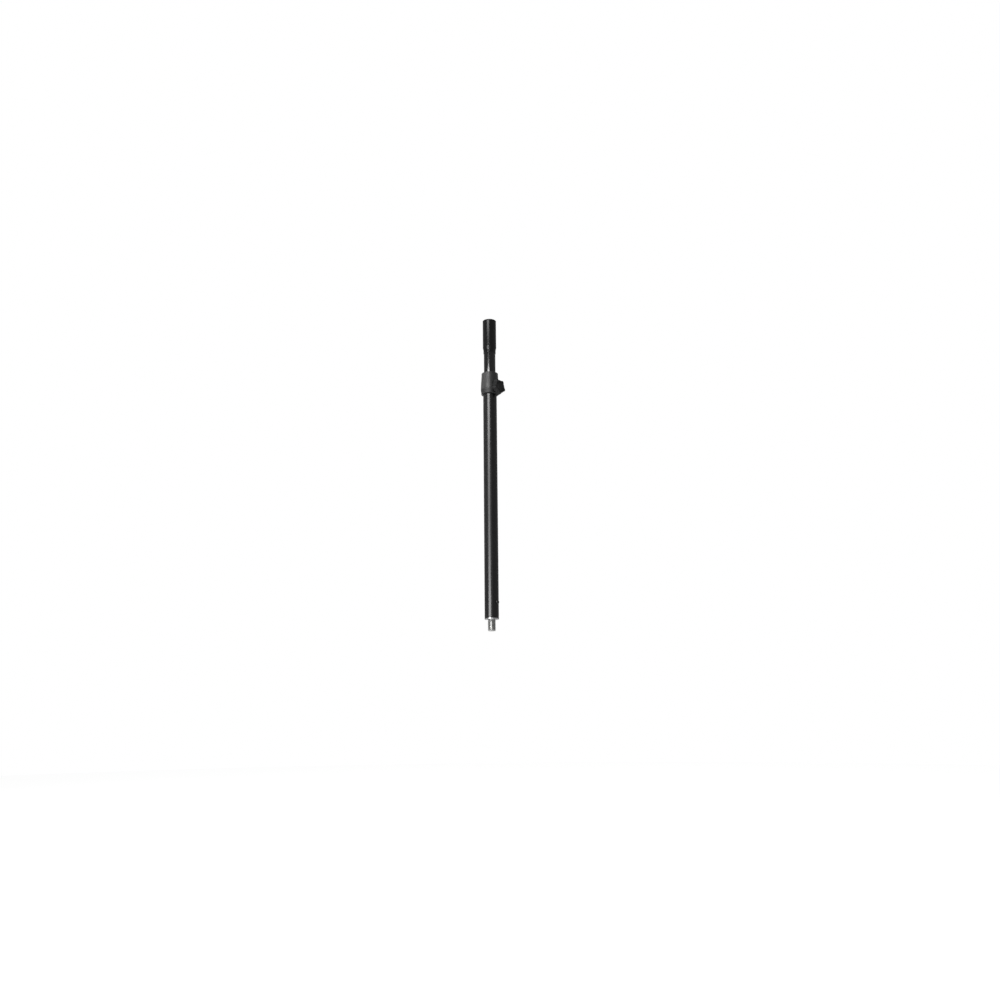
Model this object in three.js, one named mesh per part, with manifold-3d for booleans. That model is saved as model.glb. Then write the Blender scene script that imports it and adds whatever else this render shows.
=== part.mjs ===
// A telescopic speaker pole, in millimetres, +Z up.
// The lower tube stands on a threaded foot. The upper tube slides in it and is
// held by a knob, whose bolt presses a pad against the upper tube.
// The origin is on the pole's axis, on the underside of the foot's flange.
// The clamp knob faces -Y.

import * as THREE from "three";
import { mergeVertices } from "three/addons/utils/BufferGeometryUtils.js";
import Module from "manifold-3d";

const wasm = await Module();
wasm.setup();

// Clearances between pieces
const fitGap = 0.2;
const seatGap = 0.3;
const boltGap = 0.2;

// Tubes
const outerTubeDiameter = 35;
const outerTubeWall = 1.5;
const outerTubeLength = 621.6;
const slideRoom = 1;
const innerTubeWall = 1.5;
const shownExtension = 55.9;
const footClearance = 2;
const tubeSides = 36;
const boltSides = 24;
const holeSides = 16;

// Foot plug and its threaded stud
const flangeThickness = 3;
const plugShoulder = 18;
const plugTopBore = 10;
const studDiameter = 20;
const studPitch = 2.5;
const studThreadDepth = 1.5;
const studLength = 28;
const studChamfer = 2;
const studEndLand = 3;
const crossPinDiameter = 5;

// Foot screw
const footScrewHeight = 41;
const footScrewDiameter = 6;
const footScrewReach = 9;
const footScrewHead = 9.5;
const footScrewHeadHeight = 2.9;
const footScrewHeadRounding = 1.1;
const footScrewSocket = 4;
const footScrewSocketDepth = 2.2;

// Guide bush in the lower tube's top end, above the pad's window
const guideBushOffWindow = 3;
const guideBushFlange = 2;

// Collar
const collarHeight = 57.2;
const collarLip = 6;
const collarFootWall = 4.4;
const collarFootHeight = 7;
const collarFootRounding = 1.8;
const collarStep = 3.4;
const collarWaistWall = 5.4;
const collarWaistHeight = 20;
const collarTopWall = 3.4;
const collarTopRounding = 2;
const bossDiameter = 21;
const bossReach = 4.7;

// Collar screws
const collarScrewDiameter = 3.5;
const collarScrewHead = 7;
const collarScrewHeadHeight = 2;
const collarScrewSeatWall = 1.5;
const collarScrewSocket = 2.5;
const collarScrewSocketDepth = 1.2;
const lowerCollarScrewRise = 15;
const upperCollarScrewDrop = 9.2;

// Threaded insert in the collar's boss
const insertWall = 3.5;
const insertFlange = 1.5;
const insertFlangeWidth = 1;

// Knob
const knobHeight = 15.3;
const knobDiameter = 43;
const knobLobes = 5;
const pointsPerLobe = 10;
const knobValley = 5.3;
const knobLobeSharpness = 1.7;
const knobThickness = 12;
const knobOffCollar = 1.1;
const knobRounding = 2;
const knobRecessDepth = 4.4;
const knobRecessRoom = 1.5;
const capThickness = 0.9;
const capDiameter = 17;

// Clamp bolt and pressure pad
const boltDiameter = 8;
const boltHeadFlats = 13;
const boltHeadHeight = 3.4;
const boltTipDiameter = 6;
const boltTipLength = 2;
const padDiameter = 11;
const padFace = 1.5;
const padTravel = 1.9;

// Top sleeve
const sleeveWall = 2.3;
const sleeveLength = 88;
const sleeveNoseWall = 0.8;
const sleeveNoseLength = 9;
const sleeveTaper = 6;
const sleeveChamfer = 0.5;

// End cap
const endCapFlange = 3;
const endCapDepth = 14;
const endCapWall = 2;
const endCapChamfer = 0.8;

// Glide bush on the upper tube's lower end
const glideBushLength = 40;
const glideBushSole = 2;
const glideBushSoleWidth = 1.5;

// Rivets of the sleeve and the glide bush
const rivetDiameter = 4;
const rivetTail = 0.8;
const sleeveRivetDepth = 26;
const sleeveRivetHead = 7;
const sleeveRivetHeadHeight = 1;
const bushRivetHead = 5.2;
const bushRivetHeadHeight = 0.5;

// Radii that follow, from the outside in
const outerRadius = outerTubeDiameter / 2;
const outerBore = outerRadius - outerTubeWall;
const innerRadius = outerBore - slideRoom;
const innerBore = innerRadius - innerTubeWall;
const plugRadius = outerBore - fitGap;
const bushOutside = outerBore - fitGap;
const bushInside = innerRadius + fitGap;
const sleeveInside = innerRadius + fitGap;
const sleeveOutside = sleeveInside + sleeveWall;
const sleeveNose = sleeveInside + sleeveNoseWall;
const collarBore = outerRadius + seatGap;
const collarMouth = innerRadius + seatGap;
const collarWaist = collarBore + collarWaistWall;

// Heights that follow, from the foot up
const plugTop = footScrewHeight + plugShoulder;
const studTop = footScrewHeight - footScrewDiameter / 2 - studEndLand;
const crossPinHeight = (flangeThickness + studTop) / 2;
const outerTubeTop = flangeThickness + outerTubeLength;
const guideBushTop = outerTubeTop + guideBushFlange;
const collarTop = guideBushTop + collarLip;
const collarBottom = collarTop - collarHeight;
const knobAxis = collarBottom + knobHeight;
const lowerCollarScrewAxis = collarBottom + lowerCollarScrewRise;
const upperCollarScrewAxis = outerTubeTop - upperCollarScrewDrop;
const sleeveBottom = collarTop + shownExtension;

// Heights in the upper pole's own frame, from the sleeve's lower end
const glideBushBottom = plugTop + shownExtension + footClearance - sleeveBottom;
const innerTubeBottom = glideBushBottom + glideBushSole;
const glideBushTop = innerTubeBottom + glideBushLength;
const bushRivetHeight = (innerTubeBottom + glideBushTop) / 2;
const sleeveRivetHeight = sleeveLength - sleeveRivetDepth;

// Distances from the pole's axis that follow, along the clamp's axis
const padInner = innerRadius + seatGap;
const boltTip = padInner + padFace + seatGap;
const boltShoulder = boltTip + boltTipLength;
const padOuter = boltShoulder - fitGap;
const padRoomEnd = padOuter + padTravel + seatGap;
const bossFace = collarWaist + bossReach;
const knobInner = collarWaist + knobOffCollar;
const knobOuter = knobInner + knobThickness;
const knobFloor = knobInner + knobRecessDepth;
const capInner = knobOuter - capThickness;
const boltHeadTop = capInner - fitGap;
const boltHeadSeat = boltHeadTop - boltHeadHeight;
const insertRadius = boltDiameter / 2 + insertWall;
const insertFlangeRadius = insertRadius + insertFlangeWidth;
const padRoomRadius = padDiameter / 2 + seatGap;

// Finishes
const satinPaint = { color: 0x141415, roughness: 0.38, metalness: 0 };
const glossPaint = { color: 0x0f0f10, roughness: 0.25, metalness: 0 };
const greyPlastic = { color: 0x2f2f31, roughness: 0.55, metalness: 0 };
const blackPlastic = { color: 0x161617, roughness: 0.5, metalness: 0 };
const blackSteel = { color: 0x1c1c1e, roughness: 0.35, metalness: 0.8 };
const zincSteel = { color: 0xa9acae, roughness: 0.32, metalness: 1 };
const aluminium = { color: 0xb4b6b8, roughness: 0.4, metalness: 1 };
const brass = { color: 0xb08d46, roughness: 0.35, metalness: 1 };
const nylon = { color: 0x1d1d1d, roughness: 0.6, metalness: 0 };

// A closed mesh as a solid that can be cut and joined
function solidOf(geometry) {
  const bare = geometry.clone();
  bare.deleteAttribute("normal");
  bare.deleteAttribute("uv");
  const merged = mergeVertices(bare, 1e-4);
  const vertProperties = new Float32Array(merged.attributes.position.array);
  const triVerts = new Uint32Array(merged.index.array);
  return new wasm.Manifold(new wasm.Mesh({ numProp: 3, vertProperties, triVerts }));
}

function geometryOf(solid) {
  const mesh = solid.getMesh();
  const geometry = new THREE.BufferGeometry();
  geometry.setAttribute("position", new THREE.BufferAttribute(mesh.vertProperties, 3));
  geometry.setIndex(new THREE.BufferAttribute(mesh.triVerts, 1));
  geometry.computeVertexNormals();
  return geometry;
}

// A solid turned about Z from pairs of radius and height. The pairs run up the
// outside, and a pierced piece comes back down its bore to the first pair.
function turned(profile, sides = tubeSides) {
  const points = profile.map(([radius, height]) => new THREE.Vector2(radius, height));
  if (profile[0][0] > 0) points.push(points[0].clone());
  return solidOf(new THREE.LatheGeometry(points, sides).rotateX(Math.PI / 2));
}

function rod(radius, from, to, sides = holeSides) {
  return turned([[0, from], [radius, from], [radius, to], [0, to]], sides);
}

function hexagon(acrossFlats, from, to) {
  return rod(acrossFlats / Math.sqrt(3), from, to, 6);
}

// A quarter circle of profile points round a centre, turning anticlockwise
function corner(centreRadius, centreHeight, rounding, fromAngle, steps = 3) {
  return Array.from({ length: steps + 1 }, (_, step) => {
    const angle = fromAngle + (step / steps) * (Math.PI / 2);
    return [centreRadius + rounding * Math.cos(angle), centreHeight + rounding * Math.sin(angle)];
  });
}

// A cutter built along Z, laid along -Y, +Y or X at a height on the pole
function towardsFront(solid, height) {
  return solid.rotate([90, 0, 0]).translate([0, 0, height]);
}

function towardsRear(solid, height) {
  return solid.rotate([-90, 0, 0]).translate([0, 0, height]);
}

function acrossAt(solid, height) {
  return solid.rotate([0, 90, 0]).translate([0, 0, height]);
}

function outerTube() {
  const footHole = rod(footScrewDiameter / 2 + boltGap, 0, outerTubeDiameter);
  const padWindow = rod(padRoomRadius, 0, outerTubeDiameter, boltSides);
  const screwHole = rod(collarScrewDiameter / 2 + boltGap, 0, outerTubeDiameter);
  return turned([
    [outerRadius, flangeThickness],
    [outerRadius, outerTubeTop],
    [outerBore, outerTubeTop],
    [outerBore, flangeThickness],
  ])
    .subtract(towardsFront(footHole, footScrewHeight))
    .subtract(towardsFront(padWindow, knobAxis))
    .subtract(towardsRear(screwHole, lowerCollarScrewAxis))
    .subtract(towardsRear(screwHole, upperCollarScrewAxis));
}

// The plug's flange closes the tube's foot, and its bore takes the stud
function basePlug() {
  const studBore = studDiameter / 2 + fitGap;
  const boreTop = studTop + fitGap;
  const pinHole = rod(crossPinDiameter / 2 + boltGap, -outerRadius, outerRadius);
  const screwHole = rod(footScrewDiameter / 2 + boltGap, 0, outerRadius);
  return turned([
    [outerRadius, 0],
    [outerRadius, flangeThickness],
    [plugRadius, flangeThickness],
    [plugRadius, plugTop],
    [plugTopBore / 2, plugTop],
    [plugTopBore / 2, boreTop],
    [studBore, boreTop],
    [studBore, 0],
  ])
    .subtract(acrossAt(pinHole, crossPinHeight))
    .subtract(towardsFront(screwHole, footScrewHeight));
}

// The stud's free end has thread ridges, and its end in the plug is plain
function baseStud() {
  const crest = studDiameter / 2;
  const root = crest - studThreadDepth;
  const ridges = Math.floor((studLength - studChamfer) / studPitch);
  const profile = [[0, -studLength], [root - studChamfer / 2, -studLength]];
  for (let ridge = ridges; ridge > 0; ridge -= 1) {
    profile.push([root, (-ridge - 0.25) * studPitch]);
    profile.push([crest, (-ridge + 0.25) * studPitch]);
  }
  profile.push([root, -0.25 * studPitch], [root, 0], [crest, 0], [crest, studTop], [0, studTop]);
  const pinHole = rod(crossPinDiameter / 2 + boltGap, -studDiameter, studDiameter);
  return turned(profile, boltSides).subtract(acrossAt(pinHole, crossPinHeight));
}

function studCrossPin() {
  const halfLength = plugRadius - fitGap;
  return acrossAt(rod(crossPinDiameter / 2, -halfLength, halfLength), crossPinHeight);
}

// A pan head screw with a hexagon socket, pointing outwards along Z
function footScrew() {
  const seat = outerRadius + fitGap;
  const headTop = seat + footScrewHeadHeight;
  const headRadius = footScrewHead / 2;
  const rounding = footScrewHeadRounding;
  const socket = hexagon(footScrewSocket, headTop - footScrewSocketDepth, headTop + 1);
  return turned([
    [0, outerRadius - footScrewReach],
    [footScrewDiameter / 2, outerRadius - footScrewReach],
    [footScrewDiameter / 2, seat],
    [headRadius, seat],
    ...corner(headRadius - rounding, headTop - rounding, rounding, 0),
    [0, headTop],
  ], boltSides).subtract(socket);
}

function guideBush() {
  const bushBottom = knobAxis + padRoomRadius + guideBushOffWindow;
  return turned([
    [bushOutside, bushBottom],
    [bushOutside, outerTubeTop],
    [outerRadius, outerTubeTop],
    [outerRadius, guideBushTop],
    [bushInside, guideBushTop],
    [bushInside, bushBottom],
  ]);
}

// The collar has a narrow foot, a wide waist and a narrower top, and its bore
// steps in above the guide bush
function collarBody() {
  const foot = collarBore + collarFootWall;
  const top = collarBore + collarTopWall;
  const shoulder = collarTop - collarTopRounding;
  const waistTop = collarBottom + collarWaistHeight;
  const third = (shoulder - waistTop) / 3;
  const flank = new THREE.CubicBezierCurve(
    new THREE.Vector2(collarWaist, waistTop),
    new THREE.Vector2(collarWaist, waistTop + third),
    new THREE.Vector2(top, shoulder - third),
    new THREE.Vector2(top, shoulder)
  );
  const footCentre = collarBottom + collarFootRounding;
  return turned([
    ...corner(foot - collarFootRounding, footCentre, collarFootRounding, -Math.PI / 2),
    [foot, collarBottom + collarFootHeight],
    [collarWaist, collarBottom + collarFootHeight + collarStep],
    ...flank.getPoints(6).map((point) => [point.x, point.y]),
    ...corner(top - collarTopRounding, shoulder, collarTopRounding, 0).slice(1),
    [collarMouth, collarTop],
    [collarMouth, guideBushTop],
    [collarBore, guideBushTop],
    [collarBore, collarBottom],
  ]);
}

function clampCollar() {
  const boss = rod(bossDiameter / 2, collarBore + collarTopWall / 2, bossFace, boltSides);
  const insertSeat = rod(insertRadius + fitGap, 0, bossFace + 1, boltSides);
  const flangeSeat = rod(insertFlangeRadius + fitGap, 0, collarBore + insertFlange + fitGap, boltSides);
  const screwSeat = collarBore + collarScrewSeatWall;
  const screwCut = rod(collarScrewDiameter / 2 + boltGap, 0, bossFace)
    .add(rod(collarScrewHead / 2 + boltGap, screwSeat, bossFace, boltSides));
  return collarBody()
    .add(towardsFront(boss, knobAxis))
    .subtract(towardsFront(insertSeat, knobAxis))
    .subtract(towardsFront(flangeSeat, knobAxis))
    .subtract(towardsRear(screwCut, lowerCollarScrewAxis))
    .subtract(towardsRear(screwCut, upperCollarScrewAxis));
}

function collarScrew() {
  const seat = collarBore + collarScrewSeatWall + fitGap;
  const headTop = seat + collarScrewHeadHeight;
  const socket = hexagon(collarScrewSocket, headTop - collarScrewSocketDepth, headTop + 1);
  return turned([
    [0, outerBore + fitGap],
    [collarScrewDiameter / 2, outerBore + fitGap],
    [collarScrewDiameter / 2, seat],
    [collarScrewHead / 2, seat],
    [collarScrewHead / 2, headTop],
    [0, headTop],
  ], boltSides).subtract(socket);
}

// The insert's flange bears on the inside of the boss. Its wider inner end
// leaves room for the pad, and its outer end takes the bolt.
function threadedInsert() {
  const boltBore = boltDiameter / 2 + boltGap;
  return turned([
    [insertFlangeRadius, collarBore],
    [insertFlangeRadius, collarBore + insertFlange],
    [insertRadius, collarBore + insertFlange],
    [insertRadius, bossFace],
    [boltBore, bossFace],
    [boltBore, padRoomEnd],
    [padRoomRadius, padRoomEnd],
    [padRoomRadius, collarBore],
  ], boltSides);
}

// A round pad with a hollow face that fits the upper tube
function pressurePad() {
  const tipHole = rod(boltTipDiameter / 2 + seatGap, padInner + padFace, padOuter + 1);
  const tubeRoom = rod(innerRadius + seatGap, -padDiameter, padDiameter, tubeSides);
  return rod(padDiameter / 2, innerBore, padOuter, boltSides)
    .subtract(tipHole)
    .subtract(tubeRoom.rotate([90, 0, 0]));
}

function clampBolt() {
  return turned([
    [0, boltTip],
    [boltTipDiameter / 2, boltTip],
    [boltTipDiameter / 2, boltShoulder],
    [boltDiameter / 2, boltShoulder],
    [boltDiameter / 2, boltHeadTop],
    [0, boltHeadTop],
  ], boltSides).add(hexagon(boltHeadFlats, boltHeadSeat, boltHeadTop));
}

// The knob's outline swells to a lobe and falls to a valley five times, and
// one lobe points straight down
function knobOutline() {
  const steps = knobLobes * pointsPerLobe;
  const points = Array.from({ length: steps }, (_, step) => {
    const angle = (step / steps) * Math.PI * 2 - Math.PI / 2;
    const swell = (1 + Math.cos(knobLobes * (angle + Math.PI / 2))) / 2;
    const radius = knobDiameter / 2 - knobValley * (1 - swell ** knobLobeSharpness);
    return new THREE.Vector2(radius * Math.cos(angle), radius * Math.sin(angle));
  });
  return new THREE.Shape(points);
}

function clampKnob() {
  const body = new THREE.ExtrudeGeometry(knobOutline(), {
    depth: knobThickness - 2 * knobRounding,
    bevelThickness: knobRounding,
    bevelSize: knobRounding,
    bevelOffset: -knobRounding,
    bevelSegments: 2,
  }).translate(0, 0, knobInner + knobRounding);
  const recess = rod(bossDiameter / 2 + knobRecessRoom, knobInner - 1, knobFloor, boltSides);
  const boltHole = rod(boltDiameter / 2 + boltGap, knobInner, boltHeadTop, boltSides);
  const headPocket = hexagon(boltHeadFlats + 2 * fitGap, boltHeadSeat - fitGap, knobOuter);
  const capPocket = rod(capDiameter / 2 + fitGap, capInner, knobOuter + 1, boltSides);
  return solidOf(body)
    .subtract(recess)
    .subtract(boltHole)
    .subtract(headPocket)
    .subtract(capPocket);
}

function knobCap() {
  return rod(capDiameter / 2, capInner, knobOuter, boltSides);
}

function innerTube() {
  const rivetHole = rod(rivetDiameter / 2 + boltGap, 0, outerTubeDiameter);
  return turned([
    [innerRadius, innerTubeBottom],
    [innerRadius, sleeveLength],
    [innerBore, sleeveLength],
    [innerBore, innerTubeBottom],
  ])
    .subtract(towardsFront(rivetHole, sleeveRivetHeight))
    .subtract(towardsRear(rivetHole, sleeveRivetHeight))
    .subtract(towardsFront(rivetHole, bushRivetHeight))
    .subtract(towardsRear(rivetHole, bushRivetHeight));
}

// The sleeve makes the upper tube's end as wide as the lower tube, and its
// lower end tapers to a narrow nose
function topSleeve() {
  const headSeat = sleeveOutside - sleeveRivetHeadHeight - seatGap - fitGap;
  const rivetCut = rod(rivetDiameter / 2 + boltGap, 0, outerTubeDiameter)
    .add(rod(sleeveRivetHead / 2 + boltGap, headSeat, outerTubeDiameter, boltSides));
  return turned([
    [sleeveNose - sleeveChamfer, 0],
    [sleeveNose, sleeveChamfer],
    [sleeveNose, sleeveNoseLength],
    [sleeveOutside, sleeveNoseLength + sleeveTaper],
    [sleeveOutside, sleeveLength],
    [sleeveInside, sleeveLength],
    [sleeveInside, 0],
  ])
    .subtract(towardsFront(rivetCut, sleeveRivetHeight))
    .subtract(towardsRear(rivetCut, sleeveRivetHeight));
}

// The end cap's plug is hollow and open downwards
function topCap() {
  const plug = innerBore - fitGap;
  const capTop = sleeveLength + endCapFlange;
  return turned([
    [0, sleeveLength],
    [plug - endCapWall, sleeveLength],
    [plug - endCapWall, sleeveLength - endCapDepth],
    [plug, sleeveLength - endCapDepth],
    [plug, sleeveLength],
    [sleeveOutside, sleeveLength],
    [sleeveOutside, capTop - endCapChamfer],
    [sleeveOutside - endCapChamfer, capTop],
    [0, capTop],
  ]);
}

function glideBush() {
  const soleBore = innerBore - glideBushSoleWidth;
  const rivetCut = rod(bushRivetHead / 2 + boltGap, 0, outerTubeDiameter, boltSides);
  return turned([
    [bushOutside, glideBushBottom],
    [bushOutside, glideBushTop],
    [bushInside, glideBushTop],
    [bushInside, innerTubeBottom],
    [soleBore, innerTubeBottom],
    [soleBore, glideBushBottom],
  ])
    .subtract(towardsFront(rivetCut, bushRivetHeight))
    .subtract(towardsRear(rivetCut, bushRivetHeight));
}

// A rivet through the upper tube's wall, pointing outwards along Z
function rivet(headDiameter, headSeat, headHeight) {
  return turned([
    [0, innerBore - rivetTail],
    [rivetDiameter / 2, innerBore - rivetTail],
    [rivetDiameter / 2, headSeat],
    [headDiameter / 2, headSeat],
    [headDiameter / 2, headSeat + headHeight],
    [0, headSeat + headHeight],
  ], boltSides);
}

function sleeveRivet() {
  const headSeat = sleeveOutside - sleeveRivetHeadHeight - seatGap;
  return rivet(sleeveRivetHead, headSeat, sleeveRivetHeadHeight);
}

function bushRivet() {
  return rivet(bushRivetHead, innerRadius + fitGap / 2, bushRivetHeadHeight);
}

function piece(name, solid, finish) {
  const mesh = new THREE.Mesh(geometryOf(solid), new THREE.MeshStandardMaterial(finish));
  mesh.name = name;
  return mesh;
}

// Turns a piece that was built along Z to the front or the rear at a height
function atFront(mesh, height) {
  mesh.rotation.x = Math.PI / 2;
  mesh.position.z = height;
  return mesh;
}

function atRear(mesh, height) {
  mesh.rotation.x = -Math.PI / 2;
  mesh.position.z = height;
  return mesh;
}

const lowerPole = new THREE.Group();
lowerPole.add(
  piece("outer_tube", outerTube(), satinPaint),
  piece("base_plug", basePlug(), aluminium),
  piece("base_stud", baseStud(), zincSteel),
  piece("stud_cross_pin", studCrossPin(), zincSteel),
  atFront(piece("base_screw", footScrew(), blackSteel), footScrewHeight),
  piece("guide_bush", guideBush(), nylon),
  piece("clamp_collar", clampCollar(), greyPlastic),
  atRear(piece("collar_screw_lower", collarScrew(), blackSteel), lowerCollarScrewAxis),
  atRear(piece("collar_screw_upper", collarScrew(), blackSteel), upperCollarScrewAxis),
  atFront(piece("threaded_insert", threadedInsert(), brass), knobAxis)
);

// The clamp's pieces share its axis, which points outwards from the pole
const clamp = new THREE.Group();
clamp.rotation.x = Math.PI / 2;
clamp.position.z = knobAxis;
clamp.add(
  piece("pressure_pad", pressurePad(), nylon),
  piece("clamp_bolt", clampBolt(), zincSteel),
  piece("clamp_knob", clampKnob(), blackPlastic),
  piece("knob_cap", knobCap(), blackPlastic)
);

// The upper pole is drawn from the sleeve's lower end, and slides as one
const upperPole = new THREE.Group();
upperPole.position.z = sleeveBottom;
upperPole.add(
  piece("inner_tube", innerTube(), glossPaint),
  piece("top_sleeve", topSleeve(), satinPaint),
  piece("top_cap", topCap(), blackPlastic),
  atFront(piece("sleeve_rivet_front", sleeveRivet(), blackSteel), sleeveRivetHeight),
  atRear(piece("sleeve_rivet_rear", sleeveRivet(), blackSteel), sleeveRivetHeight),
  piece("glide_bush", glideBush(), nylon),
  atFront(piece("bush_rivet_front", bushRivet(), aluminium), bushRivetHeight),
  atRear(piece("bush_rivet_rear", bushRivet(), aluminium), bushRivetHeight)
);

const speakerPole = new THREE.Group();
speakerPole.add(lowerPole, clamp, upperPole);

export default speakerPole;
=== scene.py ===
import math

import bmesh
import bpy
from mathutils import Matrix, Vector


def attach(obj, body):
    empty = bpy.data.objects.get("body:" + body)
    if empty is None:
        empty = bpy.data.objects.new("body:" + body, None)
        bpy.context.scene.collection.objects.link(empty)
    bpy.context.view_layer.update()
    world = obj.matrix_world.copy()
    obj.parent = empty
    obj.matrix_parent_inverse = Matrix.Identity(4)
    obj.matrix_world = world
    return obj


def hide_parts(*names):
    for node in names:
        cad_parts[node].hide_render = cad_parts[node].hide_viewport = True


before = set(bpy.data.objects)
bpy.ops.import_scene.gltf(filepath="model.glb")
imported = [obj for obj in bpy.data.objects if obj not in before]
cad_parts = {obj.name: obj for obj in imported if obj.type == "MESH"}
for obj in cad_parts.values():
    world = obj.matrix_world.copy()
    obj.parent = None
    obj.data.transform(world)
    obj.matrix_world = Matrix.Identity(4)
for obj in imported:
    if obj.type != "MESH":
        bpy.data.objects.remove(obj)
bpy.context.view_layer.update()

# The viewpoint: the camera stands 2.3 m from the pole and lower than its foot, tilted
# up at it. The pole leans a little in the picture, because the camera isn't level.
scene = bpy.context.scene
camera = bpy.data.objects.new("camera", bpy.data.cameras.new("camera"))
camera.data.lens = 33.48
camera.data.sensor_width = 36
camera_azimuth = math.radians(-49.5)
camera_distance = 2.266
camera_height = -0.2355
camera_tilt = math.radians(13.25)
camera_turn = math.radians(0.581)
camera_roll = math.radians(0.618)
stand = Vector((math.sin(camera_azimuth), -math.cos(camera_azimuth), 0))
stand *= camera_distance
stand.z = camera_height
camera.matrix_world = (
    Matrix.Translation(stand)
    @ Matrix.Rotation(camera_azimuth - camera_turn, 4, "Z")
    @ Matrix.Rotation(math.pi / 2 + camera_tilt, 4, "X")
    @ Matrix.Rotation(-camera_roll, 4, "Z")
)
scene.collection.objects.link(camera)
scene.camera = camera
scene.view_settings.view_transform = "Standard"

# The studio: a white floor, 0.6 m below the pole's foot, in a white room. The room is
# white to the eye and in what glass and metal mirror behind the pole, and dim where it
# faces the pole's front.


class Amount:
    """A number or colour that a shader works out. Sums on it add its Math nodes."""

    def __init__(self, finish, socket):
        self.finish = finish
        self.socket = socket

    def worked(self, operation, *others):
        values = dict(enumerate((self, *others)))
        return self.finish.node("ShaderNodeMath", {"operation": operation}, values)

    def __add__(self, other):
        return self.worked("ADD", other)

    def __mul__(self, other):
        return self.worked("MULTIPLY", other)

    def __rsub__(self, other):
        return self.worked("MULTIPLY_ADD", -1, other)

    __radd__ = __add__
    __rmul__ = __mul__

    def between(self, low, high):
        """0 below low and 1 above high, with a soft step between them."""
        return self.finish.node(
            "ShaderNodeMapRange",
            {"interpolation_type": "SMOOTHSTEP"},
            {"Value": self, "From Min": low, "From Max": high},
        )

    def blend(self, first, second):
        """The first colour where the amount is 0, and the second where it is 1."""
        return self.finish.node(
            "ShaderNodeMix", {"data_type": "RGBA"}, {0: self, 6: first, 7: second}, 2
        )


class Finish:
    """The shader nodes of one finish."""

    def __init__(self, tree):
        self.tree = tree
        tree.nodes.clear()

    def node(self, kind, settings=None, values=None, output=0):
        made = self.tree.nodes.new(kind)
        for name, setting in (settings or {}).items():
            setattr(made, name, setting)
        for name, value in (values or {}).items():
            if isinstance(value, Amount):
                self.tree.links.new(value.socket, made.inputs[name])
            else:
                made.inputs[name].default_value = value
        return Amount(self, made.outputs[output]) if made.outputs else made


def background_rays(finish):
    """Three amounts, 1 for a ray from the camera, through glass and off a mirror."""
    return [
        finish.node("ShaderNodeLightPath", output=f"Is {kind} Ray")
        for kind in ("Camera", "Transmission", "Glossy")
    ]


white = (1, 1, 1, 1)
room_level = 0.16
mirrored_room_level = 0.28
wall_direction = Vector((-stand.x, -stand.y, 0)).normalized()
wall_fade = (0.95, 0.995)
world = bpy.data.worlds.new("room")
world.use_nodes = True
scene.world = world
room = Finish(world.node_tree)
camera_ray, through_ray, mirror_ray = background_rays(room)
ray_direction = room.node("ShaderNodeTexCoord", output="Generated")
towards_wall = room.node(
    "ShaderNodeVectorMath", {"operation": "DOT_PRODUCT"},
    {0: ray_direction, 1: wall_direction}, "Value",
)
mirrored_wall = mirror_ray * towards_wall.between(*wall_fade)
white_share = camera_ray.worked("MAXIMUM", through_ray).worked("MAXIMUM", mirrored_wall)
room_strength = mirror_ray * (mirrored_room_level - room_level) + room_level
room_light = room.node(
    "ShaderNodeBackground", None, {"Color": white, "Strength": room_strength}
)
room_white = room.node("ShaderNodeBackground", None, {"Color": white, "Strength": 1})
seen_room = room.node(
    "ShaderNodeMixShader", None, {0: white_share, 1: room_light, 2: room_white}
)
room.node("ShaderNodeOutputWorld", None, {"Surface": seen_room})

floor_height = -0.6
floor_radius = 6
paper_shade = (0.8, 0.8, 0.8, 1)
paper_brightness = 0.85
mirrored_paper = 0.5
floor_shell = bmesh.new()
bmesh.ops.create_circle(floor_shell, cap_ends=True, radius=floor_radius, segments=64)
bmesh.ops.translate(floor_shell, vec=(0, 0, floor_height), verts=floor_shell.verts)
floor_mesh = bpy.data.meshes.new("floor")
floor_shell.to_mesh(floor_mesh)
floor_shell.free()
floor = bpy.data.objects.new("floor", floor_mesh)
scene.collection.objects.link(floor)
floor_material = bpy.data.materials.new("white floor")
floor_material.use_nodes = True
floor_mesh.materials.append(floor_material)
floor_paper = Finish(floor_material.node_tree)
camera_ray, through_ray, mirror_ray = background_rays(floor_paper)
seen_paper = camera_ray.worked("MAXIMUM", through_ray)
paper_glow = seen_paper.worked("MAXIMUM", mirror_ray * mirrored_paper)
paper = floor_paper.node("ShaderNodeBsdfDiffuse", None, {"Color": paper_shade})
glow_strength = paper_glow * paper_brightness
glow = floor_paper.node(
    "ShaderNodeEmission", None, {"Color": white, "Strength": glow_strength}
)
lit_paper = floor_paper.node("ShaderNodeAddShader", None, {0: paper, 1: glow})
floor_paper.node("ShaderNodeOutputMaterial", None, {"Surface": lit_paper})


def softbox(name, azimuth, height, size, radiance, lean=0.0, mirrored=True, soft=False):
    """A lamp 2 m from the pole: a highlight in gloss, a soft light on it, or both."""
    distance = 2.0
    width, tall = size
    lamp = bpy.data.lights.new(name, "AREA")
    lamp.shape = "RECTANGLE"
    lamp.size = width
    lamp.size_y = tall
    lamp.energy = radiance * math.pi * width * tall
    angle = math.radians(azimuth)
    place = Vector((math.sin(angle) * distance, -math.cos(angle) * distance, height))
    box = bpy.data.objects.new(name, lamp)
    box.matrix_world = (
        Matrix.Translation(place)
        @ Matrix.Rotation(angle, 4, "Z")
        @ Matrix.Rotation(math.pi / 2 - lean, 4, "X")
    )
    box.visible_camera = False
    box.visible_glossy = mirrored
    box.visible_diffuse = soft
    scene.collection.objects.link(box)


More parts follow.
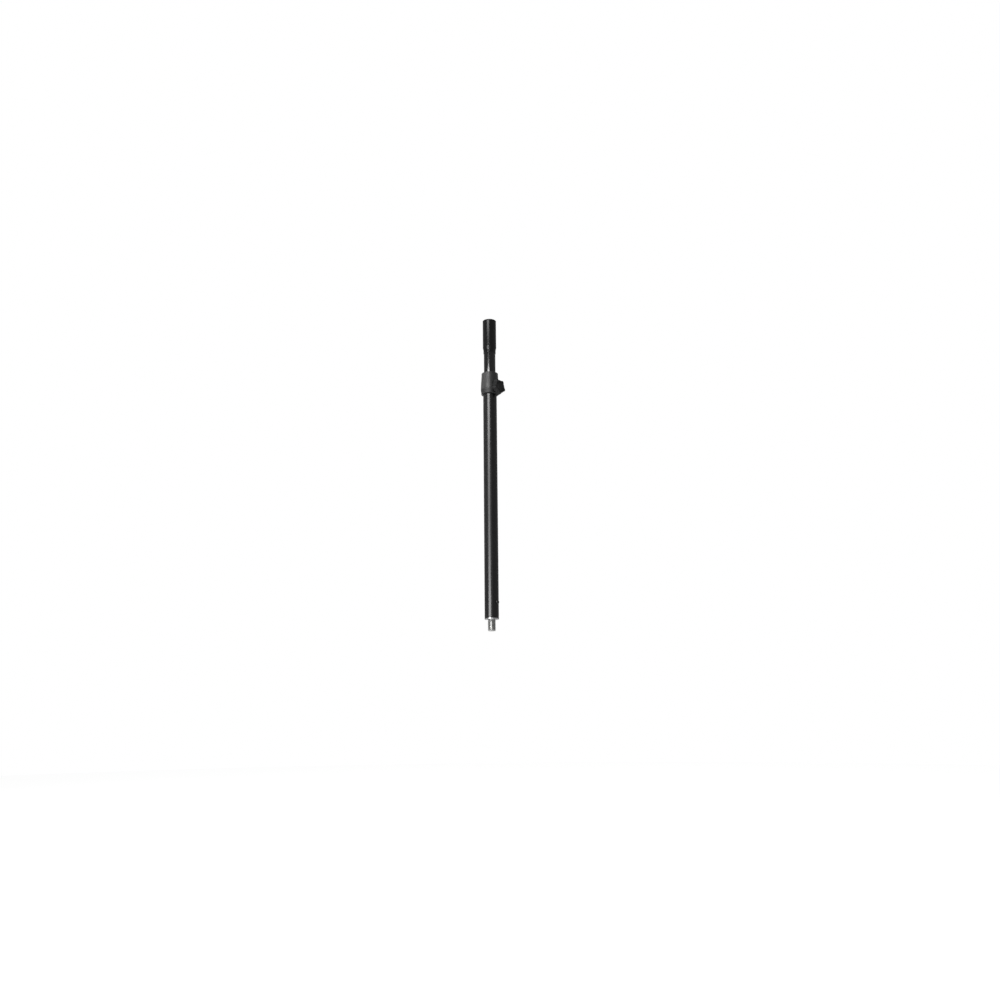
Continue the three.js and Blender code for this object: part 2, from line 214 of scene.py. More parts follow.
# Each strip's bottom, top and width in metres, azimuth in degrees, and radiance.
strips = (
    (0.05, 0.34, 1.25, -79, 11.2),
    (0.34, 0.54, 1.12, -79, 5.6),
    (0.54, 0.94, 1.05, -78, 3.4),
    (0.94, 1.15, 1.12, -76, 4.3),
    (1.15, 1.37, 1.25, -73.5, 10.6),
    (1.37, 1.43, 1.3, -73, 15),
    (1.63, 1.95, 1.3, -73, 6),
)
for number, (bottom, top, width, azimuth, radiance) in enumerate(strips):
    middle = (bottom + top) / 2
    softbox(f"strip {number}", azimuth, middle, (width, top - bottom), radiance)
softbox("strip's glow", azimuth=-72, height=0.74, size=(3.0, 1.3), radiance=0.4)
softbox(
    "key light", azimuth=-130, height=1.5, size=(1.4, 1.6), radiance=7.4,
    lean=math.radians(27), mirrored=False, soft=True,
)
softbox(
    "back light", azimuth=130, height=0.9, size=(1.2, 1.8), radiance=1.5, soft=True
)

# The lower tube: drawn steel, 35 mm across, satin powder coated in black. Its foot
# takes the plug and its screw, and its top the bush and the collar.
mm = 0.001
sharp_edge = math.radians(35)


def turned(profile, steps=96):
    """A shell spun about Z from a line of radius, height and corner rounding, in mm.

    A line that starts off the axis is closed, and one that starts on it ends on it.
    """
    shell = bmesh.new()
    corners = [
        shell.verts.new((radius * mm, 0, height * mm)) for radius, height, *_ in profile
    ]
    following = corners[1:] + corners[:1] if profile[0][0] > 0 else corners[1:]
    for corner, after in zip(corners, following):
        shell.edges.new((corner, after))
    for corner, (_, _, *rounding) in zip(corners, profile):
        if rounding:
            bmesh.ops.bevel(
                shell, geom=[corner], offset=rounding[0] * mm, segments=5, profile=0.5,
                affect="VERTICES", material=-1,
            )
    bmesh.ops.spin(
        shell, geom=shell.verts[:] + shell.edges[:], cent=(0, 0, 0), axis=(0, 0, 1),
        angle=2 * math.pi, steps=steps, use_merge=True,
    )
    bmesh.ops.remove_doubles(shell, verts=shell.verts, dist=0.001 * mm)
    bmesh.ops.recalc_face_normals(shell, faces=shell.faces)
    return shell


def rod(radius, start, end, steps=48):
    return turned([(0, start), (radius, start), (radius, end), (0, end)], steps)


front = Matrix.Rotation(math.pi / 2, 4, "X")
rear = Matrix.Rotation(-math.pi / 2, 4, "X")


def laid(shell, direction, height):
    """Lays a shell that was built up Z on a line across the pole at a height."""
    place = Matrix.Translation((0, 0, height * mm)) @ direction
    bmesh.ops.transform(shell, matrix=place, verts=shell.verts)
    return shell


def drill(radius, direction, height, start=10, end=20):
    """What a drill takes out, from start to end in mm from the pole's axis."""
    return laid(rod(radius, start, end), direction, height)


def solid(name, shell):
    mesh = bpy.data.meshes.new(name)
    shell.to_mesh(mesh)
    shell.free()
    made = bpy.data.objects.new(name, mesh)
    scene.collection.objects.link(made)
    return made


def worked(shell, operation, *tools):
    """A shell after each tool's shape is cut from it or joined to it."""
    for tool in tools:
        blank = solid("blank", shell)
        cutter = solid("cutter", tool)
        cut = blank.modifiers.new("cut", "BOOLEAN")
        cut.operation = operation
        cut.solver = "MANIFOLD"
        cut.object = cutter
        shell = bmesh.new()
        shell.from_object(blank, bpy.context.evaluated_depsgraph_get())
        for spent in (blank, cutter):
            bpy.data.meshes.remove(spent.data)
    return shell


def shaded(name, shell, material):
    """A piece with smooth round faces, true flat ones and crisp edges."""
    made = solid(name, shell)
    made.data.shade_smooth()
    made.data.set_sharp_from_angle(angle=sharp_edge)
    made.data.materials.append(material)
    flats = made.modifiers.new("true flats", "WEIGHTED_NORMAL")
    flats.keep_sharp = True
    return made


def surface(name):
    material = bpy.data.materials.new(name)
    material.use_nodes = True
    return material, Finish(material.node_tree)


def noise(finish, grain, detail=2, stretch=(1, 1, 1)):
    """Random patches of about a grain's size in mm, longer where the stretch says."""
    place = finish.node("ShaderNodeTexCoord", output="Object")
    scale = tuple(1 / (grain * mm * part) for part in stretch)
    point = finish.node("ShaderNodeMapping", None, {"Vector": place, "Scale": scale})
    return finish.node(
        "ShaderNodeTexNoise", None, {"Vector": point, "Scale": 1.0, "Detail": detail}
    )


def finish_off(finish, colour, roughness, relief, depth, metallic=0.0, level=0.5):
    """Joins a finish's colour, roughness and relief, in mm, to its shader."""
    bump = finish.node(
        "ShaderNodeBump", None, {"Height": relief, "Distance": depth * mm}
    )
    shader = finish.node("ShaderNodeBsdfPrincipled", None, {
        "Base Color": colour, "Roughness": roughness, "Metallic": metallic,
        "Specular IOR Level": level, "Normal": bump,
    })
    finish.node("ShaderNodeOutputMaterial", None, {"Surface": shader})


def black_paint(name, dark, pale, roughness, peel, level):
    """Black paint on steel: the peel of sprayed powder, hand marks and fine scuffs."""
    material, finish = surface(name)
    clouds = noise(finish, grain=28, detail=3, stretch=(1, 1, 3))
    scratches = noise(finish, grain=0.5, detail=3, stretch=(1, 1, 40))
    scuffed = scratches.between(0.66, 0.74) * noise(finish, grain=45).between(0.5, 0.65)
    waves = noise(finish, grain=2.2, detail=1) + noise(finish, grain=0.35) * 0.12
    finish_off(
        finish, (clouds * 0.8 + scuffed * 0.5).blend(dark, pale),
        roughness + clouds * 0.04 + scuffed * 0.1,
        relief=waves, depth=peel, level=level,
    )
    return material


satin_paint = black_paint(
    "satin black powder coat",
    dark=(0.015, 0.015, 0.0155, 1), pale=(0.02, 0.02, 0.0205, 1),
    roughness=0.19, peel=0.004, level=0.5,
)
outer_radius = 17.5
outer_bore = 16
tube_foot = 3
tube_top = 624.6
tube_rings = (30, 53, 577, 604, 608, 621)
foot_screw_height = 41
foot_screw_hole = 3.2
knob_height = 590.7
clamp_window = 5.8
collar_screw_heights = (590.4, 615.4)
collar_screw_hole = 1.95
lower_tube_shell = turned(
    [(outer_radius, tube_foot, 0.3)]
    + [(outer_radius, height) for height in tube_rings]
    + [(outer_radius, tube_top, 0.3), (outer_bore, tube_top, 0.3)]
    + [(outer_bore, height) for height in reversed(tube_rings)]
    + [(outer_bore, tube_foot, 0.3)],
    steps=128,
)
lower_tube_shell = worked(
    lower_tube_shell, "DIFFERENCE",
    drill(foot_screw_hole, front, foot_screw_height),
    drill(clamp_window, front, knob_height),
    *(drill(collar_screw_hole, rear, height) for height in collar_screw_heights),
)
lower_tube = shaded("lower_tube", lower_tube_shell, satin_paint)
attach(lower_tube, "lower_pole")
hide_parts("outer_tube")

# The foot plug: turned aluminium, pushed into the lower tube's foot. The pole stands on
# its flange, which is as wide as the tube, and its bore holds the threaded stud.


def tool_marks(finish, pitch, turn=(0, 0, 0)):
    """Fine rings about a piece's own axis, as a lathe tool leaves them."""
    place = finish.node("ShaderNodeTexCoord", output="Object")
    upright = finish.node(
        "ShaderNodeMapping", None, {"Vector": place, "Rotation": turn}
    )
    across = finish.node("ShaderNodeSeparateXYZ", None, {0: upright})
    x, y, z = (Amount(finish, across.socket.node.outputs[side]) for side in "XYZ")
    radius = (x * x + y * y).worked("SQRT")
    return finish.node(
        "ShaderNodeTexNoise", {"noise_dimensions": "1D"},
        {"W": (radius + z) * (1 / (pitch * mm)), "Scale": 1.0, "Detail": 1},
    )


plug_aluminium, finish = surface("turned aluminium")
aluminium_greys = (0.42, 0.425, 0.43, 1), (0.5, 0.505, 0.51, 1)
marks = tool_marks(finish, pitch=0.25)
clouds = noise(finish, grain=9)
finish_off(
    finish, clouds.blend(*aluminium_greys), marks * 0.12 + clouds * 0.1 + 0.26,
    relief=marks, depth=0.006, metallic=1.0,
)
plug_radius = 15.8
plug_top = 59
plug_top_bore = 5
stud_bore = 10.2
stud_bore_top = 35.2
sideways = Matrix.Rotation(math.pi / 2, 4, "Y")
cross_pin_height = 19
cross_pin_hole = 2.7
foot_plug_shell = worked(
    turned([
        (outer_radius, 0, 0.5), (outer_radius, tube_foot, 0.3),
        (plug_radius, tube_foot), (plug_radius, plug_top, 1),
        (plug_top_bore, plug_top, 0.4), (plug_top_bore, stud_bore_top),
        (stud_bore, stud_bore_top), (stud_bore, 0, 0.5),
    ], steps=128),
    "DIFFERENCE",
    drill(cross_pin_hole, sideways, cross_pin_height, start=-20),
    drill(foot_screw_hole, front, foot_screw_height, start=0),
)
foot_plug = shaded("foot_plug", foot_plug_shell, plug_aluminium)
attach(foot_plug, "lower_pole")
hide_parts("base_plug")

# The stud: zinc plated steel with a rolled M20 thread, by which the pole is screwed
# down. Its plain end stands in the plug, where a pin crosses it.


def threaded(radius, depth, pitch, low, high, tip_radius, steps=48):
    """An open skin with a screw thread that starts at a tip and runs out at its top.

    One turn's line is in radius and eighths of the pitch: a flat root, a flank with a
    soft bend, a flat crest and the other flank.
    """
    skin = bmesh.new()
    root = radius - depth
    eighth = pitch / 8
    turn = [
        (root, 0), (root, 2), (radius - depth / 2, 3.25), (radius, 4.5),
        (radius, 5.5), (radius - depth / 2, 6.75), (root, 8),
    ]
    start = low - 1.5 * pitch
    line = [
        skin.verts.new((reach * mm, 0, (start + part * eighth) * mm))
        for reach, part in turn
    ]
    for point, after in zip(line, line[1:]):
        skin.edges.new((point, after))
    turns = math.ceil((high - low) / pitch) + 2
    bmesh.ops.spin(
        skin, geom=skin.verts[:] + skin.edges[:], cent=(0, 0, 0), axis=(0, 0, 1),
        dvec=(0, 0, pitch * mm / steps), angle=2 * math.pi * turns, steps=steps * turns,
    )
    bmesh.ops.remove_doubles(skin, verts=skin.verts, dist=0.01 * mm)
    for vert in skin.verts:
        height = vert.co.z / mm
        lead_in = tip_radius + max(0, height - low)
        run_out = root + max(0, high - 0.2 * pitch - height) * depth / pitch
        shrink = min(1, min(lead_in, run_out) * mm / vert.co.xy.length)
        vert.co.x *= shrink
        vert.co.y *= shrink
    for height, outwards in ((low, -1), (high, 1)):
        bmesh.ops.bisect_plane(
            skin, geom=skin.verts[:] + skin.edges[:] + skin.faces[:],
            plane_co=(0, 0, height * mm), plane_no=(0, 0, outwards), clear_outer=True,
        )
    return skin


def drawn(skin, rim_height, rings):
    """Draws an open rim through rings of radius and height, and closes the last."""
    rim = [
        edge for edge in skin.edges
        if edge.is_boundary
        and all(abs(vert.co.z - rim_height * mm) < 0.01 * mm for vert in edge.verts)
    ]
    for radius, height in rings:
        grown = bmesh.ops.extrude_edge_only(skin, edges=rim)["geom"]
        ring = {part for part in grown if isinstance(part, bmesh.types.BMVert)}
        for vert in ring:
            vert.co.xy = vert.co.xy.normalized() * radius * mm
            vert.co.z = height * mm
        rim = [
            part for part in grown
            if isinstance(part, bmesh.types.BMEdge) and ring.issuperset(part.verts)
        ]
    bmesh.ops.contextual_create(skin, geom=rim)
    bmesh.ops.recalc_face_normals(skin, faces=skin.faces)
    return skin


zinc_steel, finish = surface("zinc plated steel")
zinc_greys = (0.4, 0.41, 0.42, 1), (0.52, 0.515, 0.49, 1)
clouds = noise(finish, grain=6, detail=3)
bloom = noise(finish, grain=0.8, detail=3)
finish_off(
    finish, clouds.blend(*zinc_greys), clouds * 0.14 + bloom * 0.12 + 0.22,
    relief=bloom, depth=0.004, metallic=1.0,
)
stud_radius = 10
stud_tip = -28
stud_thread_end = -0.8
stud_neck = 8.5
stud_neck_end = 0.4
stud_top = 35
stud_shell = threaded(
    stud_radius, depth=1.5, pitch=2.5, low=stud_tip, high=stud_thread_end, tip_radius=8
)
drawn(stud_shell, stud_tip, [])
drawn(stud_shell, stud_thread_end, [
    (stud_neck, stud_neck_end), (stud_radius - 0.6, stud_neck_end), (stud_radius, 1),
    (stud_radius, stud_top - 1), (stud_radius - 1, stud_top),
])
stud_shell = worked(
    stud_shell, "DIFFERENCE",
    drill(cross_pin_hole, sideways, cross_pin_height, start=-20),
)
stud = shaded("threaded_stud", stud_shell, zinc_steel)
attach(stud, "lower_pole")
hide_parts("base_stud")

# The cross pin: a zinc plated steel dowel with rounded ends, pressed through the plug
# and the stud, which it locks together.
pin_radius = 2.5
pin_half = 15.6
pin_shell = laid(turned([
    (0, -pin_half), (pin_radius, -pin_half, 0.5), (pin_radius, pin_half, 0.5),
    (0, pin_half),
], steps=48), sideways, cross_pin_height)
cross_pin = shaded("cross_pin", pin_shell, zinc_steel)
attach(cross_pin, "lower_pole")
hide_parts("stud_cross_pin")

# The foot screw: a pan head screw of blackened steel with a hexagon socket, which goes
# through the tube's wall and holds the plug.


def hexagonal(shell, near, far, low, high):
    """Moves round walls between two radii and two heights onto a hexagon."""
    for vert in shell.verts:
        radius = vert.co.xy.length
        if near * mm < radius < far * mm and low * mm < vert.co.z < high * mm:
            bearing = math.atan2(vert.co.y, vert.co.x) % (math.pi / 3) - math.pi / 6
            vert.co.xy *= math.cos(math.pi / 6) / math.cos(bearing)


def socket_screw(radius, tip, seat, head, top, rounding, flats, depth):
    """A screw that points up Z, with a hexagon socket in its head."""
    corner = flats / math.sqrt(3)
    socket_floor = top - depth
    shell = turned([
        (0, tip), (radius, tip, 0.4), (radius, seat), (head, seat, 0.15),
        (head, top, rounding), (corner, top, 0.12), (corner, socket_floor),
        (0, socket_floor - 0.3),
    ])
    hexagonal(
        shell, near=0.1, far=corner + 0.2, low=socket_floor - 0.1, high=top + 0.1
    )
    return shell


black_steel, finish = surface("blackened steel")
steel_blacks = (0.035, 0.035, 0.036, 1), (0.055, 0.054, 0.053, 1)
clouds = noise(finish, grain=4, detail=3)
grit = noise(finish, grain=0.3)
finish_off(
    finish, clouds.blend(*steel_blacks), clouds * 0.15 + 0.28,
    relief=grit, depth=0.005, metallic=0.5,
)
foot_screw_shell = socket_screw(
    radius=3, tip=8.5, seat=17.7, head=4.75, top=21.1, rounding=2.2, flats=4, depth=2.2
)
foot_screw = shaded(
    "foot_screw", laid(foot_screw_shell, front, foot_screw_height), black_steel
)
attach(foot_screw, "lower_pole")
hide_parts("base_screw")

# The guide bush: moulded nylon, pressed into the lower tube's top, where the upper
# tube slides through it. The collar covers its flange.
bush_nylon, finish = surface("black nylon")
nylon_blacks = (0.0115, 0.0115, 0.0115, 1), (0.015, 0.015, 0.015, 1)
clouds = noise(finish, grain=5)
grain = noise(finish, grain=0.4)
finish_off(
    finish, clouds.blend(*nylon_blacks), grain * 0.1 + 0.5, relief=grain, depth=0.006
)
bush_radius = 15.8
slide_radius = 15.2
bush_foot = 599.5
bush_top = 626.6
guide_bush_shell = turned([
    (bush_radius, bush_foot, 0.3), (bush_radius, tube_top),
    (outer_radius, tube_top, 0.2), (outer_radius, bush_top, 0.3),
    (slide_radius, bush_top, 0.25), (slide_radius, bush_foot, 0.25),
], steps=128)
guide_bush = shaded("tube_guide_bush", guide_bush_shell, bush_nylon)
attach(guide_bush, "lower_pole")
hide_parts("guide_bush")

# The collar: a dark grey moulding with a fine grain and a duller foot, whose colour is
# painted darker as shade under the waist, slipped over the lower tube's top. It has a
# narrow foot, a wide waist, a narrower top and a boss for the clamp.
grey_plastic, finish = surface("grained dark grey plastic")
collar_greys = (0.056, 0.056, 0.0565, 1), (0.078, 0.078, 0.0785, 1)
painted_foot_shade_grey = (0.028, 0.028, 0.0285, 1)
rough_foot_and_painted_shade_heights = (0.586, 0.592)
clouds = noise(finish, grain=14, detail=3)
grain = noise(finish, grain=0.45, detail=3)
place = finish.node("ShaderNodeTexCoord", output="Object")
height = finish.node("ShaderNodeSeparateXYZ", None, {0: place}, "Z")
# The foot band is rougher, and its colour is painted darker as shade under the waist's
# step.
rough_foot_and_painted_shade = 1 - height.between(*rough_foot_and_painted_shade_heights)
grey = (clouds * 0.6 + grain * 0.4).blend(*collar_greys)
finish_off(
    finish, rough_foot_and_painted_shade.blend(grey, painted_foot_shade_grey),
    grain * 0.1 + clouds * 0.05 + rough_foot_and_painted_shade * 0.12 + 0.34, relief=grain, depth=0.03,
)
collar_foot = 575.4
collar_foot_end = 582.4
collar_foot_radius = 22.2
waist_bottom = 585.8
waist_top = 597
waist_radius = 23.2
collar_shoulder = 627
collar_top = 632.6
collar_top_radius = 21.2
collar_mouth = 15.3
collar_bore = 17.8
collar_shell = turned([
    (collar_foot_radius, collar_foot, 1.8), (collar_foot_radius, collar_foot_end, 1.2),
    (waist_radius, waist_bottom, 1.5), (waist_radius, waist_top, 7),
    (collar_top_radius, collar_shoulder, 5), (collar_top_radius, collar_top, 2),
    (collar_mouth, collar_top, 0.5), (collar_mouth, bush_top),
    (collar_bore, bush_top), (collar_bore, collar_foot, 0.5),
], steps=144)
boss_radius = 10.5
boss_root = 19.5
boss_face = 27.9
boss_shell = turned([
    (0, boss_root), (boss_radius, boss_root), (boss_radius, boss_face, 0.8),
    (0, boss_face),
])
collar_shell = worked(collar_shell, "UNION", laid(boss_shell, front, knob_height))
insert_seat = 7.7
insert_flange_seat = 8.7
screw_head_seat = 3.7
screw_cuts = [
    drill(radius, rear, height, start, end=28)
    for height in collar_screw_heights
    for radius, start in ((collar_screw_hole, 0), (screw_head_seat, 19.3))
]
collar_shell = worked(
    collar_shell, "DIFFERENCE",
    drill(insert_seat, front, knob_height, start=0, end=29),
    drill(insert_flange_seat, front, knob_height, start=0, end=19.5),
    *screw_cuts,
)
collar = shaded("collar", collar_shell, grey_plastic)
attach(collar, "lower_pole")
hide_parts("clamp_collar")

# The collar screws: two small blackened screws at the rear, sunk in the collar, which
# fix it to the lower tube's wall.
for place, height in zip(("lower", "upper"), collar_screw_heights):
    screw_shell = socket_screw(
        radius=1.75, tip=16.2, seat=19.5, head=3.5, top=21.5, rounding=0.4,
        flats=2.5, depth=1.2,
    )
    collar_screw = shaded(
        f"collar_fixing_{place}", laid(screw_shell, rear, height), black_steel
    )
    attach(collar_screw, "lower_pole")
    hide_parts(f"collar_screw_{place}")

# The clamp's insert: turned brass, set in the collar's boss from inside. Its flange
# takes the bolt's push, and its wider inner end leaves room for the pad.
insert_brass, finish = surface("turned brass")
brass_yellows = (0.36, 0.235, 0.07, 1), (0.48, 0.33, 0.11, 1)
marks = tool_marks(finish, pitch=0.2, turn=(math.pi / 2, 0, 0))
clouds = noise(finish, grain=4)
finish_off(
    finish, clouds.blend(*brass_yellows), marks * 0.12 + clouds * 0.1 + 0.24,
    relief=marks, depth=0.006, metallic=1.0,
)
insert_radius = 7.5
insert_bore = 4.2
insert_flange_radius = 8.5
insert_flange_start = 17.8
insert_flange_end = 19.3
pad_room_radius = 5.8
pad_room_end = 21.1
insert_shell = laid(turned([
    (insert_flange_radius, insert_flange_start, 0.2),
    (insert_flange_radius, insert_flange_end, 0.2),
    (insert_radius, insert_flange_end), (insert_radius, boss_face, 0.4),
    (insert_bore, boss_face, 0.5), (insert_bore, pad_room_end),
    (pad_room_radius, pad_room_end), (pad_room_radius, insert_flange_start, 0.2),
], steps=72), front, knob_height)
insert = shaded("clamp_insert", insert_shell, insert_brass)
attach(insert, "lower_pole")
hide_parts("threaded_insert")

# The pressure pad: a nylon button whose hollow face fits the upper tube. The bolt's
# tip turns in a hole in its back.
pad_radius = 5.5
pad_blank_start = 12
pad_back = 18.9
pad_hollow = 15.3
bolt_tip_hole = 3.3
bolt_tip_hole_floor = 16.8
pad_shell = worked(
    turned([
        (0, pad_blank_start), (pad_radius, pad_blank_start),
        (pad_radius, pad_back, 0.3), (0, pad_back),
    ], steps=72),
    "DIFFERENCE",
    rod(bolt_tip_hole, bolt_tip_hole_floor, 20),
    laid(rod(pad_hollow, -12, 12, steps=144), front, 0),
)
pad = shaded("clamp_button", laid(pad_shell, front, knob_height), bush_nylon)
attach(pad, "clamp_pad")
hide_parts("pressure_pad")

# The clamp bolt: an M8 hexagon bolt, zinc plated, pushed through the knob from its
# face. Its plain tip stands in the pad.
bolt_radius = 4
bolt_tip = 17.1
bolt_tip_radius = 3
bolt_shoulder = 19.1
bolt_thread_end = 30.8
bolt_head_seat = 31.8
bolt_head_top = 35.2
bolt_head_radius = 7.5
bolt_shell = threaded(
    bolt_radius, depth=0.77, pitch=1.25, low=bolt_shoulder, high=bolt_thread_end,
    tip_radius=3.1,
)
drawn(bolt_shell, bolt_shoulder, [
    (bolt_tip_radius, bolt_shoulder), (bolt_tip_radius, bolt_tip + 0.4),
    (bolt_tip_radius - 0.4, bolt_tip),
])
drawn(bolt_shell, bolt_thread_end, [
    (bolt_radius, bolt_head_seat - 0.6), (bolt_radius, bolt_head_seat),
    (bolt_head_radius - 0.1, bolt_head_seat), (bolt_head_radius, bolt_head_seat + 0.1),
    (bolt_head_radius, bolt_head_top - 0.4), (bolt_head_radius - 0.9, bolt_head_top),
])
hexagonal(
    bolt_shell, near=7, far=8, low=bolt_head_seat - 0.1, high=bolt_head_top - 0.1
)
bmesh.ops.dissolve_degenerate(bolt_shell, dist=0.001 * mm, edges=bolt_shell.edges)
bolt = shaded("clamp_screw_bolt", laid(bolt_shell, front, knob_height), zinc_steel)
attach(bolt, "clamp_screw")
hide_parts("clamp_bolt")

# The knob: black plastic with five lobes that narrow towards its face, and a ring
# groove in the face. It is moulded with a hexagon pocket for the bolt's head and a
# hollow back, which runs over the collar's boss.
black_plastic, finish = surface("moulded black plastic")
plastic_blacks = (0.01, 0.01, 0.0105, 1), (0.018, 0.018, 0.0185, 1)
clouds = noise(finish, grain=10)
grain = noise(finish, grain=0.35)
finish_off(
    finish, (clouds * 0.5 + grain * 0.5).blend(*plastic_blacks),
    grain * 0.1 + clouds * 0.08 + 0.44, relief=grain, depth=0.02, level=0.38,
)
knob_back = 25
knob_face = 36.3
knob_back_radius = 22.4
knob_face_radius = 20.3
knob_face_rounding = 2.8
knob_lobes = 5
knob_valley = 4
lobe_sharpness = 2.4
knob_hub = 12.9
groove_floor = 34.5
groove_outside = 12
groove_inside = 10.9
cap_rim = 10
cap_seat = 35.4
cap_pocket = 8.7
head_pocket = 7.75
head_pocket_floor = 31.6
bolt_hole = 4.2
hollow_radius = 12
hollow_end = 28.7
knob_shell = turned([
    (hollow_radius, knob_back, 0.5), (knob_back_radius, knob_back, 2.2),
    (knob_face_radius, knob_face, knob_face_rounding), (knob_hub, knob_face, 0.6),
    (groove_outside, groove_floor, 0.4), (groove_inside, groove_floor, 0.4),
    (cap_rim, knob_face, 0.6), (cap_pocket, knob_face, 0.2), (cap_pocket, cap_seat),
    (head_pocket, cap_seat), (head_pocket, head_pocket_floor),
    (bolt_hole, head_pocket_floor), (bolt_hole, hollow_end),
    (hollow_radius, hollow_end, 0.6),
], steps=180)
hexagonal(knob_shell, near=7, far=8, low=head_pocket_floor - 0.1, high=cap_seat + 0.1)
lobe_root = knob_face_radius - knob_face_rounding
# The valleys between the lobes deepen from the hub outwards.
for vert in knob_shell.verts:
    reach = vert.co.xy.length / mm
    if reach > knob_hub:
        bearing = math.atan2(vert.co.y, vert.co.x) + math.pi / 2
        swell = (1 + math.cos(knob_lobes * bearing)) / 2
        share = min(1, (reach - knob_hub) / (lobe_root - knob_hub))
        drop = knob_valley * (1 - swell ** lobe_sharpness) * share
        vert.co.xy *= (reach - drop) / reach
knob = shaded("star_knob", laid(knob_shell, front, knob_height), black_plastic)
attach(knob, "clamp_screw")
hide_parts("clamp_knob")

# The knob's cap: a pressed-in disc of black plastic with a low crown, which covers
# the bolt's head.
cap_radius = 8.5
cap_shell = laid(turned([
    (0, cap_seat), (cap_radius, cap_seat), (cap_radius, knob_face - 0.5, 0.15),
    (cap_radius - 1.4, knob_face - 0.3, 0.7), (cap_radius / 2, knob_face - 0.06, 2),
    (0, knob_face),
]), front, knob_height)
knob_cap = shaded("knob_face_cap", cap_shell, black_plastic)
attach(knob_cap, "clamp_screw")
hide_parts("knob_cap")

# The upper tube: drawn steel, 30 mm across, with a glossier black enamel, because it
# slides. Rivets at both ends hold the sleeve and the glide bush.
gloss_paint = black_paint(
    "gloss black enamel",
    dark=(0.006, 0.006, 0.0063, 1), pale=(0.009, 0.009, 0.0093, 1),
    roughness=0.06, peel=0.001, level=0.7,
)
inner_radius = 15
inner_bore = 13.5
inner_foot = 118.9
inner_rings = (132, 146, 743, 758)
pole_end = 776.5
sleeve_rivet_height = 750.5
bush_rivet_height = 138.9
rivet_hole = 2.2
upper_tube_shell = turned(
    [(inner_radius, inner_foot, 0.3)]
    + [(inner_radius, height) for height in inner_rings]
    + [(inner_radius, pole_end, 0.3), (inner_bore, pole_end, 0.3)]
    + [(inner_bore, height) for height in reversed(inner_rings)]
    + [(inner_bore, inner_foot, 0.3)],
    steps=128,
)
upper_tube_shell = worked(upper_tube_shell, "DIFFERENCE", *(
    drill(rivet_hole, direction, height)
    for direction in (front, rear)
    for height in (sleeve_rivet_height, bush_rivet_height)
))
upper_tube = shaded("upper_tube", upper_tube_shell, gloss_paint)
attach(upper_tube, "upper_pole")
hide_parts("inner_tube")

# The glide bush: moulded nylon, riveted to the upper tube's lower end. It slides in the
# lower tube, and its top meets the guide bush before the upper tube can come out.
glide_bush_sole = 116.9
glide_bush_top = 158.9
glide_bush_bore = 12
rivet_head_hole = 2.8
glide_bush_shell = worked(
    turned([
        (bush_radius, glide_bush_sole, 0.6), (bush_radius, glide_bush_top, 0.3),
        (slide_radius, glide_bush_top), (slide_radius, inner_foot),
        (glide_bush_bore, inner_foot, 0.3), (glide_bush_bore, glide_bush_sole, 0.3),
    ], steps=128),
    "DIFFERENCE",
    drill(rivet_head_hole, front, bush_rivet_height),
    drill(rivet_head_hole, rear, bush_rivet_height),
)
glide_bush = shaded("tube_glide_bush", glide_bush_shell, bush_nylon)
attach(glide_bush, "upper_pole")
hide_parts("glide_bush")

# The glide bush's rivets: small aluminium ones, which hold the bush to the upper tube.
# Their low heads stay below the bush's surface.


def rivet(shank, tail, seat, head, top, crown):
    """A rivet that points up Z, with a crowned head."""
    return turned([
        (0, tail), (shank, tail, 0.3), (shank, seat), (head, seat, 0.05),
        (head, top - crown, 0.1), (head * 0.6, top - crown * 0.3, head * 0.25),
        (0, top),
    ], steps=72)


for place, direction in (("front", front), ("rear", rear)):
    rivet_shell = rivet(shank=2, tail=12.7, seat=15.1, head=2.6, top=15.6, crown=0.25)
    bush_rivet = shaded(
        f"glide_rivet_{place}", laid(rivet_shell, direction, bush_rivet_height),
        plug_aluminium,
    )
    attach(bush_rivet, "upper_pole")
    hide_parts(f"bush_rivet_{place}")
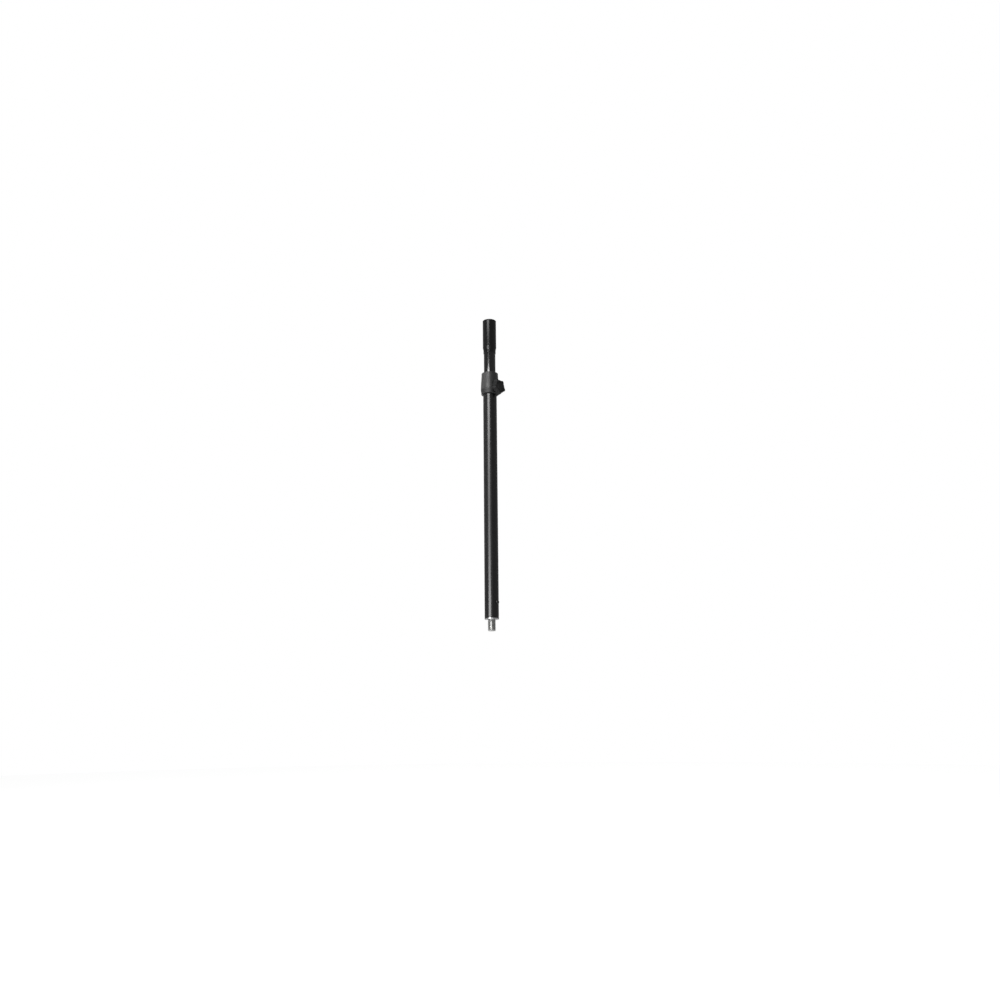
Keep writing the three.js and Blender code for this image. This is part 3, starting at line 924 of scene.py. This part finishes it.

# The top sleeve: steel, riveted on, which makes the upper tube as wide as the lower
# one, to fill a 35 mm socket. Its lower end tapers to a narrow nose. Its black powder
# coat is smoother than the lower tube's, and its colour is painted darker as shade.
# The sleeve's paint colour is painted darker than the lower tube's, as shade.
sleeve_paint_darkened_as_shade = black_paint(
    "smooth black powder coat darkened as painted shade",
    dark=(0.007, 0.007, 0.0073, 1), pale=(0.01, 0.01, 0.0103, 1),
    roughness=0.1, peel=0.003, level=0.4,
)
sleeve_radius = 17.5
sleeve_foot = 688.5
nose_radius = 16
nose_end = 697.5
taper_end = 703.5
sleeve_rings = (742, 759)
sleeve_shell = turned(
    [(nose_radius, sleeve_foot, 0.5), (nose_radius, nose_end, 1)]
    + [(sleeve_radius, taper_end, 1.2)]
    + [(sleeve_radius, height) for height in sleeve_rings]
    + [(sleeve_radius, pole_end, 0.3), (slide_radius, pole_end)]
    + [(slide_radius, height) for height in reversed(sleeve_rings)]
    + [(slide_radius, sleeve_foot, 0.2)],
    steps=128,
)
rivet_head_sink = 3.7
sleeve_shell = worked(sleeve_shell, "DIFFERENCE", *(
    drill(radius, direction, sleeve_rivet_height, start)
    for direction in (front, rear)
    for radius, start in ((rivet_hole, 10), (rivet_head_sink, 16))
))
sleeve = shaded("socket_sleeve", sleeve_shell, sleeve_paint_darkened_as_shade)
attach(sleeve, "upper_pole")
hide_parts("top_sleeve")

# The sleeve's rivets: blackened steel, through the sleeve and the upper tube. Their
# heads are sunk, so that the sleeve still slips into its socket.
for place, direction in (("front", front), ("rear", rear)):
    rivet_shell = rivet(shank=2, tail=12.7, seat=16.2, head=3.5, top=17.2, crown=0.5)
    sleeve_rivet = shaded(
        f"socket_rivet_{place}", laid(rivet_shell, direction, sleeve_rivet_height),
        black_steel,
    )
    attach(sleeve_rivet, "upper_pole")
    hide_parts(f"sleeve_rivet_{place}")

# The end cap: black plastic, plugged into the upper tube's top end and as wide as the
# sleeve, with a crowned top.
cap_plug_radius = 13.3
cap_plug_bore = 11.3
cap_plug_foot = 762.5
cap_plate = 775.8
cap_edge = 778.9
cap_top = 779.5
cap_crown_radius = 14
end_cap_shell = turned([
    (0, cap_plate), (cap_plug_bore, cap_plate), (cap_plug_bore, cap_plug_foot, 0.3),
    (cap_plug_radius, cap_plug_foot, 0.6), (cap_plug_radius, pole_end),
    (sleeve_radius, pole_end, 0.2), (sleeve_radius, cap_edge, 0.7),
    (cap_crown_radius, cap_top - 0.2, 3), (0, cap_top),
], steps=128)
end_cap = shaded("pole_end_cap", end_cap_shell, black_plastic)
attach(end_cap, "upper_pole")
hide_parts("top_cap")
